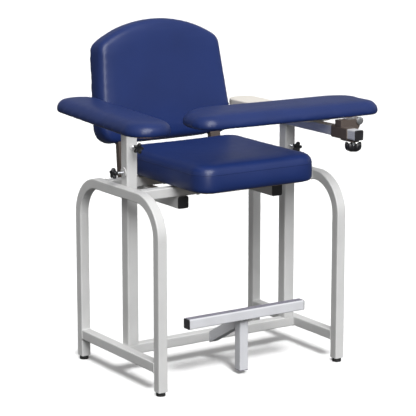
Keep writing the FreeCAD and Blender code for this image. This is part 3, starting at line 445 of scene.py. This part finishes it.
def inflate(piece, is_held, cap, pressure=4.0, frames=20):
    """Puffs the cover with a cloth simulation.

    A point moves at most cap before PLUMP is added, and held points don't move.
    """
    rest = [vertex.co.copy() for vertex in piece.data.vertices]
    held = [index for index, place in enumerate(rest) if is_held(place)]
    group = piece.vertex_groups.new(name="held")
    group.add(held, 1.0, "REPLACE")
    cloth = piece.modifiers.new("Cloth", "CLOTH")
    cloth.settings.quality = 4
    cloth.settings.mass = 0.4
    cloth.settings.tension_stiffness = 12
    cloth.settings.compression_stiffness = 12
    cloth.settings.bending_stiffness = 2
    cloth.settings.air_damping = 4
    cloth.settings.use_pressure = True
    cloth.settings.uniform_pressure_force = pressure
    cloth.settings.effector_weights.gravity = 0
    cloth.settings.vertex_group_mass = "held"
    cloth.point_cache.frame_start = 1
    cloth.point_cache.frame_end = frames
    for step in range(1, frames + 1):
        bpy.context.scene.frame_set(step)
    shaped = piece.evaluated_get(bpy.context.evaluated_depsgraph_get())
    moved = [vertex.co.copy() for vertex in shaped.data.vertices]
    piece.modifiers.clear()
    bpy.context.scene.frame_set(1)
    shift = np.array([end - start for start, end in zip(rest, moved)])
    length = np.linalg.norm(shift, axis=1, keepdims=True)
    shift *= cap / np.maximum(cap, length)
    shift += np.array([vertex.normal for vertex in piece.data.vertices]) * PLUMP
    steps = even_out(piece.data, shift, held)
    for vertex, start, step in zip(piece.data.vertices, rest, steps):
        vertex.co = start + Vector(step)
    piece.vertex_groups.clear()


def even_out(mesh, shift, held, rounds=40):
    """Averages each point's shift with its neighbours', so the cover swells without ripples."""
    edges = np.array([edge.vertices for edge in mesh.edges])
    ends = np.concatenate((edges[:, 0], edges[:, 1]))
    others = np.concatenate((edges[:, 1], edges[:, 0]))
    points = len(shift)
    count = np.bincount(ends, minlength=points)[:, None]
    for _ in range(rounds):
        sums = [np.bincount(ends, shift[others, axis], points) for axis in range(3)]
        shift = (shift + np.stack(sums, axis=1) / count) / 2
        shift[held] = 0
    return shift


def make_cushion(node, body, is_held, cap, patches=()):
    """A crowned, puffed cushion in the place of a CAD foam solid.

    Patches are blocks that thicken foam too thin to be remeshed.
    """
    piece = copy_node(f"{node}_cover", node)
    for patch in patches:
        add_block(piece, patch)
    remesh(piece, CUSHION_VOXEL)
    smooth(piece, 4)
    inflate(piece, is_held, cap)
    smooth(piece, 3)
    finer = piece.modifiers.new("Finer", "SUBSURF")
    finer.levels = 1
    apply_modifiers(piece)
    piece.data.materials.clear()
    piece.data.materials.append(LOOKS["vinyl"])
    piece.data.shade_smooth()
    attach(piece, body)
    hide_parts(node)
    return piece


def held_below(node, height):
    """A test for foam near a node's underside, where its cover is pulled round the board."""
    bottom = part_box(node)[0].z
    return lambda place: place.z < bottom + height


def build_cushions():
    """Returns the seat's cover, and what would shade the seat: the arm pads and their boards."""
    seat = make_cushion(
        "seat_cushion", "frame", held_below("seat_cushion", 7 * MM), cap=5 * MM
    )
    arm_pads = []
    for node, body in (("left_arm_pad", "left_arm"), ("flip_pad", "flip_arm")):
        arm_pads.append(make_cushion(node, body, held_below(node, 13 * MM), cap=4 * MM))
    slots = [slot_patch("left_back_upright"), slot_patch("right_back_upright")]
    make_cushion("back_cushion", "frame", is_back_held, cap=5 * MM, patches=slots)
    arm_pads += [frame["nodes"][node] for node in ("left_arm_pad_board", "flip_pad_board")]
    return seat, arm_pads


def slot_patch(upright):
    """A block behind the foam's thin front skin at the foot of an upright's slot."""
    low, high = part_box(upright)
    near, far = 3 * MM, 18 * MM
    left, right = low.x - 4 * MM, high.x + 4 * MM
    corners = []
    for rise in (2 * MM, 52 * MM):
        for x, depth in ((left, near), (right, near), (right, far), (left, far)):
            side = Vector((x, 0, 0))
            corners.append(BACK_FOOT + side + UP_THE_BACK * rise + INTO_THE_BACK * depth)
    return corners


def is_back_held(place):
    """The back's foam is held at its rear face and round the slots that take the uprights."""
    rear_depth, skin_depth = 56 * MM, 12 * MM
    slot_margin, slot_top = 8 * MM, 220 * MM
    low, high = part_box("right_back_upright")
    depth = (place - BACK_FOOT) @ INTO_THE_BACK
    rise = (place - BACK_FOOT) @ UP_THE_BACK
    beside_slot = low.x - slot_margin < abs(place.x) < high.x + slot_margin
    in_slot = beside_slot and depth > skin_depth and rise < slot_top
    return depth > rear_depth or in_slot


# ---------------------------------------------------------------- hardware


KNOB_LEVELS = (
    # From the neck to the dished cap: reach as a share of the radius, height as a share of the
    # thickness, depth of the scoops, and how much height a scoop loses.
    (0.34, -0.45, 0.0, 0.0),
    (0.36, -0.40, 0.0, 0.0),
    (0.40, -0.02, 0.0, 0.0),
    (0.42, 0.00, 0.05, 0.0),
    (0.66, 0.02, 0.30, 0.0),
    (0.88, 0.10, 0.42, 0.0),
    (0.97, 0.22, 0.45, 0.0),
    (1.00, 0.38, 0.45, 0.0),
    (1.00, 0.68, 0.45, 0.0),
    (0.97, 0.84, 0.45, 0.0),
    (0.89, 0.95, 0.42, 0.0),
    (0.76, 1.00, 0.32, 0.0),
    (0.46, 0.96, 0.08, 0.0),
    (0.34, 0.90, 0.0, 0.0),
    (0.10, 0.90, 0.0, 0.0),
)
SLIDER_KNOB_LEVELS = (
    # From the boss inside the hollow, out over the lobes' tips, to the middle of the dome.
    (0.16, 0.50, 0.0, 0.0),
    (0.20, 0.50, 0.0, 0.0),
    (0.26, 0.56, 0.0, 0.0),
    (0.28, 0.80, 0.0, 0.0),
    (0.46, 0.84, 0.10, 0.0),
    (0.66, 0.66, 0.24, 0.1),
    (0.74, 0.34, 0.28, 0.2),
    (0.78, 0.06, 0.30, 0.30),
    (0.86, 0.00, 0.32, 0.34),
    (0.95, 0.03, 0.32, 0.32),
    (1.00, 0.26, 0.32, 0.24),
    (1.00, 0.50, 0.32, 0.12),
    (0.96, 0.70, 0.32, 0.05),
    (0.85, 0.85, 0.28, 0.0),
    (0.66, 0.94, 0.22, 0.0),
    (0.42, 0.99, 0.10, 0.0),
    (0.12, 1.00, 0.0, 0.0),
)


def build_knob(name, body, place, radius, thick, levels):
    """The head of a star knob, its lobes and scoops shaped level by level."""
    rings = []
    for reach, height, scoop, loss in levels:
        ring = []
        for angle in whole_turn(KNOB_SEGMENTS):
            lobe = 0.5 + 0.5 * math.cos(KNOB_LOBES * angle)
            rim = radius * reach * (1 - scoop * (1 - lobe ** 0.75))
            level = thick * (height + loss * (1 - lobe ** 0.5))
            ring.append(place @ polar(rim, angle, level))
        rings.append(ring)
    head = add_mesh(f"{name}_head", flatten(rings), skin(rings), LOOKS["knob_plastic"], 60)
    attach(head, body)
    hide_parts(name)


def build_stud(name, body, place, length, collar):
    """A threaded stud from its tip, at -length, to a collar where its thread ends at -collar."""
    chamfer = 0.6 * MM
    profile = [(THREAD_ROOT, -length), (THREAD_CREST - 0.2 * MM, -length + chamfer)]
    turns = int((length - collar - 1.0 * MM) / THREAD_PITCH)
    for turn in range(turns):
        start = -length + chamfer + THREAD_PITCH * turn
        profile.append((THREAD_CREST, start + THREAD_PITCH * 0.25))
        profile.append((THREAD_ROOT, start + THREAD_PITCH * 0.75))
    profile += [
        (THREAD_CREST, -collar),
        (THREAD_CREST * 1.45, -collar),
        (THREAD_CREST * 1.5, 0.4 * MM - collar),
        (THREAD_CREST * 1.5, 3.3 * MM - collar),
    ]
    stud = add_turned(f"{name}_stud", [(profile, place)], LOOKS["bright_steel"], 25)
    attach(stud, body)


def build_knobs():
    """Each knob is built outward from where its CAD knob's head starts."""
    knobs = (
        # node, body, the way its head faces, and where a lobe points
        ("left_front_knob", "left_front_clamp", (0, -1, 0), (1, 0, 0)),
        ("left_side_knob", "left_side_clamp", (-1, 0, 0), (0, 0, 1)),
        ("right_front_knob", "right_front_clamp", (0, -1, 0), (1, 0, 0)),
        ("right_side_knob", "right_side_clamp", (1, 0, 0), (0, 0, -1)),
    )
    for node, body, outward, lobe in knobs:
        place = knob_place(node, outward, lobe, KNOB_THICK)
        build_knob(node, body, place, KNOB_RADIUS, KNOB_THICK, KNOB_LEVELS)
        build_stud(node, body, place, KNOB_STUD, collar=3 * MM)
    node, body = "slider_knob", "slider_clamp"
    place = knob_place(node, (0, 0, -1), (0.97, -0.26, 0), SLIDER_KNOB_THICK)
    build_knob(node, body, place, SLIDER_KNOB_RADIUS, SLIDER_KNOB_THICK, SLIDER_KNOB_LEVELS)
    build_stud(node, body, place, SLIDER_KNOB_STUD, collar=-14 * MM)


def knob_place(node, outward, lobe, head):
    """The frame of a knob, on its axis where its head starts; the axis is the CAD stud's tip."""
    outward = Vector(outward)
    corners = [vertex.co for vertex in frame["nodes"][node].data.vertices]
    heights = [corner @ outward for corner in corners]
    tip = min(heights)
    end = [corner for corner, height in zip(corners, heights) if height < tip + 0.1 * MM]
    centre = sum(end, Vector()) / len(end)
    start = max(heights) - head
    centre += outward * (start - centre @ outward)
    return frame_at(centre, outward, lobe)


def build_glides():
    """Ribbed rubber feet that flare towards the floor."""
    # Radius and height, from the floor up to the plug inside the leg.
    profile = [
        (12.2 * MM, 0.0),
        (14.0 * MM, 0.6 * MM),
        (14.5 * MM, 2.2 * MM),
        (14.5 * MM, 6.0 * MM),
        (13.6 * MM, 6.6 * MM),
        (13.6 * MM, 8.0 * MM),
        (14.3 * MM, 8.6 * MM),
        (14.3 * MM, 12.6 * MM),
        (12.0 * MM, 13.0 * MM),
        (12.0 * MM, 24.0 * MM),
    ]
    parts = []
    for leg in LEGS:
        centre = node_centre(leg)
        parts.append((profile, frame_at((centre.x, centre.y, 0), (0, 0, 1), (1, 0, 0))))
    feet = add_turned("floor_glide_feet", parts, LOOKS["glide_rubber"], 50)
    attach(feet, "frame")
    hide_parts("floor_glides")
    return feet


def build_hinge_pin():
    """The hinge pin: a domed, chamfered head in front and a lock nut behind."""
    low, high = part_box("hinge_pin")
    centre = node_centre("hinge_pin")
    length = high.y - low.y
    shank = 6.0 * MM
    nut_start = length - 8.0 * MM
    # Radius and depth behind the head's face.
    profile = [
        (4.5 * MM, 0.0),
        (9.5 * MM, 0.25 * MM),
        (12.0 * MM, 1.1 * MM),
        (12.5 * MM, 2.0 * MM),
        (12.4 * MM, 3.9 * MM),
        (shank, 4.0 * MM),
        (shank, length - 1.0 * MM),
        (shank - 1.0 * MM, length),
    ]
    place = frame_at((centre.x, low.y, centre.z), (0, 1, 0), (1, 0, 0))
    pin = add_turned("hinge_pin_turned", [(profile, place)], LOOKS["bright_steel"], 35)
    nut_profile = [
        (8.2 * MM, nut_start),
        (9.0 * MM, nut_start + 0.6 * MM),
        (9.0 * MM, nut_start + 3.4 * MM),
        (8.2 * MM, nut_start + 4.0 * MM),
    ]
    rings = turned_rings(nut_profile, place, segments=6)
    nut = add_mesh("hinge_pin_nut", flatten(rings), skin(rings), LOOKS["bright_steel"], 25)
    for piece in (pin, nut):
        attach(piece, "slider")
    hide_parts("hinge_pin")


def fastener_places(node, outward):
    """Where each fastener of a node has the outer end of its head, and how long each is."""
    nearby = 20 * MM
    clusters = []
    for vertex in frame["nodes"][node].data.vertices:
        flat = vertex.co - outward * (vertex.co @ outward)
        for cluster in clusters:
            if (flat - cluster[0]).length < nearby:
                break
        else:
            cluster = [flat]
            clusters.append(cluster)
        cluster.append(vertex.co.copy())
    places = []
    for cluster in clusters:
        corners = cluster[1:]
        heights = [corner @ outward for corner in corners]
        top = max(heights)
        rim = [corner for corner, height in zip(corners, heights) if height > top - 0.2 * MM]
        places.append((sum(rim, Vector()) / len(rim), top - min(heights)))
    return places


def build_fasteners():
    """Domed socket screws in the place of each node of plain CAD screws."""
    down = Vector((0, 0, -1))
    # head radius, head height, shank radius
    bolt = (6.5 * MM, 5.3 * MM, 4.0 * MM)
    screw = (5.0 * MM, 3.0 * MM, 2.5 * MM)
    sets = (
        ("seat_bolts", "frame", down, bolt),
        ("back_bolts", "frame", INTO_THE_BACK, bolt),
        ("armrest_screws", "right_arm", down, screw),
        ("left_pad_screws", "left_arm", down, screw),
        ("flip_pad_screws", "flip_arm", down, screw),
    )
    slots = {entry["node"]: entry["material_slot"] for entry in frame["record"]["subparts"]}
    for node, body, outward, (head, height, shank) in sets:
        parts = []
        for centre, length in fastener_places(node, outward):
            # The shank, the domed head, then the socket sunk into it.
            profile = [
                (shank * 0.7, -length),
                (shank, -length + 1 * MM),
                (shank, -height),
                (head * 0.97, -height),
                (head, -height * 0.85),
                (head * 0.95, -height * 0.45),
                (head * 0.78, -height * 0.14),
                (head * 0.52, 0.0),
                (head * 0.43, -height * 0.05),
                (head * 0.40, -height * 0.5),
                (head * 0.05, -height * 0.55),
            ]
            parts.append((profile, frame_at(centre, outward, (1, 0, 0))))
        screws = add_turned(f"{node}_turned", parts, LOOKS[slots[node]], 30)
        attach(screws, body)
        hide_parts(node)


def cord_rings(path, radii):
    """Rings of a closed cord: path holds (centre, outward, along the face) for each step."""
    rings = []
    for (centre, outward, up), radius in zip(path, radii):
        ring = []
        for angle in whole_turn(CORD_SIDES):
            ring.append(centre + (outward * math.cos(angle) + up * math.sin(angle)) * radius)
        rings.append(ring)
    return rings


def loop_faces(rings, first_index=0):
    """Faces over rings that close on themselves."""
    sides, count = len(rings[0]), len(rings)
    faces = []
    for step in range(count):
        here = first_index + step * sides
        there = first_index + (step + 1) % count * sides
        for i in range(sides):
            j = (i + 1) % sides
            faces.append((here + i, here + j, there + j, there + i))
    return faces


def tube_outline(node, axis, end):
    """Steps round a square tube's end: centre, outward and along, with rounded corners."""
    low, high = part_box(node)
    along = Vector((0, 0, 0))
    along[axis] = 1
    first, second = [i for i in range(3) if i != axis]
    inset = (TUBE / 2 - TUBE_CORNER) * math.sqrt(2)
    steps = []
    for corner in range(4):
        start = math.pi / 2 * corner + math.pi / 4
        for turn in range(CORNER_STEPS + 1):
            angle = math.pi / 2 * (corner + turn / CORNER_STEPS)
            outward = Vector((0, 0, 0))
            outward[first], outward[second] = math.cos(angle), math.sin(angle)
            centre = (low + high) / 2
            centre[axis] = (low, high)[end][axis]
            centre[first] += inset * math.cos(start) + TUBE_CORNER * math.cos(angle)
            centre[second] += inset * math.sin(start) + TUBE_CORNER * math.sin(angle)
            steps.append((centre, outward, along))
    return subdivide_steps(steps, WELD_BEAD)


def subdivide_steps(steps, spacing):
    """Adds steps along a closed path until none is farther than spacing from the next."""
    finer = []
    for index, (centre, outward, along) in enumerate(steps):
        following = steps[(index + 1) % len(steps)]
        count = max(1, math.ceil((following[0] - centre).length / spacing))
        for part in range(count):
            share = part / count
            place = centre.lerp(following[0], share)
            finer.append((place, outward.lerp(following[1], share), along))
    return finer


def build_welds():
    """Rippled weld beads where the frame's tubes meet, and a fine seam where hoops meet legs."""
    corners, faces = [], []
    joints = [(rail, axis, end, WELD_BEAD) for rail, axis in WELDED_RAILS for end in (0, 1)]
    joints += [(leg, 2, 1, HOOP_SEAM) for leg in LEGS]
    for node, axis, end, bead in joints:
        steps = tube_outline(node, axis, end)
        radii = [bead * (0.85 + 0.15 * math.sin(step * 1.9)) for step in range(len(steps))]
        rings = cord_rings(steps, radii)
        faces += loop_faces(rings, len(corners))
        corners += flatten(rings)
    beads = add_mesh("weld_beads", corners, faces, LOOKS["frame_paint"], 80)
    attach(beads, "frame")


def build_seat_seam(cover):
    """A fine sewn welt round the seat, below its top edge, laid on the puffed cover."""
    mesh = cover.data
    places = [vertex.co for vertex in mesh.vertices]
    tree = BVHTree.FromPolygons(places, [polygon.vertices for polygon in mesh.polygons])
    middle = node_centre("seat_cushion")
    middle.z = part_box("seat_cushion")[1].z - SEAM_DEPTH
    steps = []
    for angle in whole_turn(SEAM_STEPS):
        outward = polar(1, angle, 0)
        spot, normal = tree.ray_cast(middle + outward, -outward)[:2]
        steps.append((spot, normal, Vector((0, 0, 1))))
    stitches = [1.1 * MM if index % 2 else 0.9 * MM for index in range(SEAM_STEPS)]
    rings = cord_rings(steps, stitches)
    welt = add_mesh("seat_seam", flatten(rings), loop_faces(rings), LOOKS["vinyl"], 80)
    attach(welt, "frame")


# ---------------------------------------------------------------- setting


def build_floor():
    """A pale floor that reaches 60 m each way, far past every view."""
    side = 60
    corners = [(-side, -side, 0), (side, -side, 0), (side, side, 0), (-side, side, 0)]
    pale = (0.86, 0.86, 0.86)
    darker, lighter = (0.85, 0.85, 0.85), (0.87, 0.87, 0.87)
    look = Look("pale_floor", pale, 0.9)
    look.colours(look.noise(0.7, 2), (0.3, darker), (0.7, lighter))
    floor = add_mesh("floor", corners, [(0, 1, 2, 3)], look.material)
    # The studio's dim lower half stands in for the floor's bounce, which keeps undersides deep.
    floor.visible_diffuse = False
    floor.visible_glossy = False
    return floor


def smooth_step(tree, value, start, end):
    """A soft ramp between two (input, output) pairs."""
    spread = tree.nodes.new("ShaderNodeMapRange")
    spread.interpolation_type = "SMOOTHSTEP"
    spread.inputs["From Min"].default_value, spread.inputs["To Min"].default_value = start
    spread.inputs["From Max"].default_value, spread.inputs["To Max"].default_value = end
    tree.links.new(value, spread.inputs["Value"])
    return spread.outputs["Result"]


def build_studio():
    """A studio that is bright above and in front, and dim below and behind."""
    world = bpy.data.worlds.new("studio")
    world.use_nodes = True
    tree = world.node_tree
    direction = tree.nodes.new("ShaderNodeTexCoord")
    parts = tree.nodes.new("ShaderNodeSeparateXYZ")
    tree.links.new(direction.outputs["Generated"], parts.inputs["Vector"])
    above = smooth_step(tree, parts.outputs["Z"], (-0.12, 0.0), (0.15, 1.0))
    front = smooth_step(tree, parts.outputs["Y"], (-0.2, 1.0), (0.9, STUDIO_BACK))
    both = tree.nodes.new("ShaderNodeMath")
    both.operation = "MULTIPLY"
    tree.links.new(above, both.inputs[0])
    tree.links.new(front, both.inputs[1])
    strength = smooth_step(tree, both.outputs["Value"], (0.0, STUDIO_DIM), (1.0, STUDIO_BRIGHT))
    tree.links.new(strength, tree.nodes["Background"].inputs["Strength"])
    tree.nodes["Background"].inputs["Color"].default_value = (1, 1, 1, 1)
    bpy.context.scene.world = world


def add_lamp(name, kind, energy, toward, distance=0.0):
    """A lamp that shines at the chair from the direction toward."""
    data = bpy.data.lights.new(name, kind)
    data.energy = energy
    lamp = bpy.data.objects.new(name, data)
    lamp.rotation_mode = "QUATERNION"
    lamp.rotation_quaternion = Vector(toward).to_track_quat("Z", "Y")
    lamp.location = LAMP_TARGET + Vector(toward).normalized() * distance
    bpy.context.scene.collection.objects.link(lamp)
    return lamp


def linked(name, pieces, state):
    """A collection that includes or excludes pieces for a lamp."""
    group = bpy.data.collections.new(name)
    for piece in pieces:
        group.objects.link(piece)
    for entry in group.collection_objects:
        entry.light_linking.link_state = state
    return group


def build_lights(floor, feet, arm_pads):
    """A soft key light from the front, a fill from behind and a sheen that only gloss shows.

    The arm pads throw no shadow on the seat, and only low pieces throw one on the floor.
    """
    key = add_lamp("key", "SUN", 4.3, KEY_TOWARD)
    key.data.angle = math.radians(40)
    not_the_floor = linked("not_the_floor", [floor], "EXCLUDE")
    key.light_linking.receiver_collection = not_the_floor
    key.light_linking.blocker_collection = linked("all_but_arm_pads", arm_pads, "EXCLUDE")
    low_key = add_lamp("floor_key", "SUN", 4.0, KEY_TOWARD)
    low_key.data.angle = math.radians(15)
    low_key.light_linking.receiver_collection = linked("only_the_floor", [floor], "INCLUDE")
    low_pieces = [frame["nodes"][node] for node in SHADOW_NODES] + [feet]
    low_key.light_linking.blocker_collection = linked("throws_shadows", low_pieces, "INCLUDE")
    rear_fill = add_lamp("rear_fill", "SUN", 2.0, REAR_TOWARD)
    rear_fill.data.angle = math.radians(60)
    rear_fill.light_linking.receiver_collection = not_the_floor
    rear_fill.visible_glossy = False
    sheen = add_lamp("sheen", "AREA", 90.0, SHEEN_TOWARD, distance=4.0)
    sheen.data.shape = "RECTANGLE"
    sheen.data.size = 0.9
    sheen.data.size_y = 2.2
    sheen.visible_diffuse = False
    sheen.visible_camera = False


def build_camera():
    data = bpy.data.cameras.new("camera")
    data.sensor_width = 36
    data.lens = CAMERA_LENS
    data.clip_end = 200
    camera = bpy.data.objects.new("camera", data)
    camera.location = CAMERA_PLACE
    level = math.cos(CAMERA_TILT)
    across, away = math.sin(CAMERA_TURN), math.cos(CAMERA_TURN)
    ahead = Vector((across * level, away * level, -math.sin(CAMERA_TILT)))
    camera.rotation_mode = "QUATERNION"
    camera.rotation_quaternion = ahead.to_track_quat("-Z", "Y")
    bpy.context.scene.collection.objects.link(camera)
    bpy.context.scene.camera = camera
    bpy.context.scene.view_settings.view_transform = "Standard"


dress_frame()
seat_cover, arm_pads = build_cushions()
build_knobs()
feet = build_glides()
build_hinge_pin()
build_fasteners()
build_welds()
build_seat_seam(seat_cover)
floor = build_floor()
build_studio()
build_lights(floor, feet, arm_pads)
build_camera()
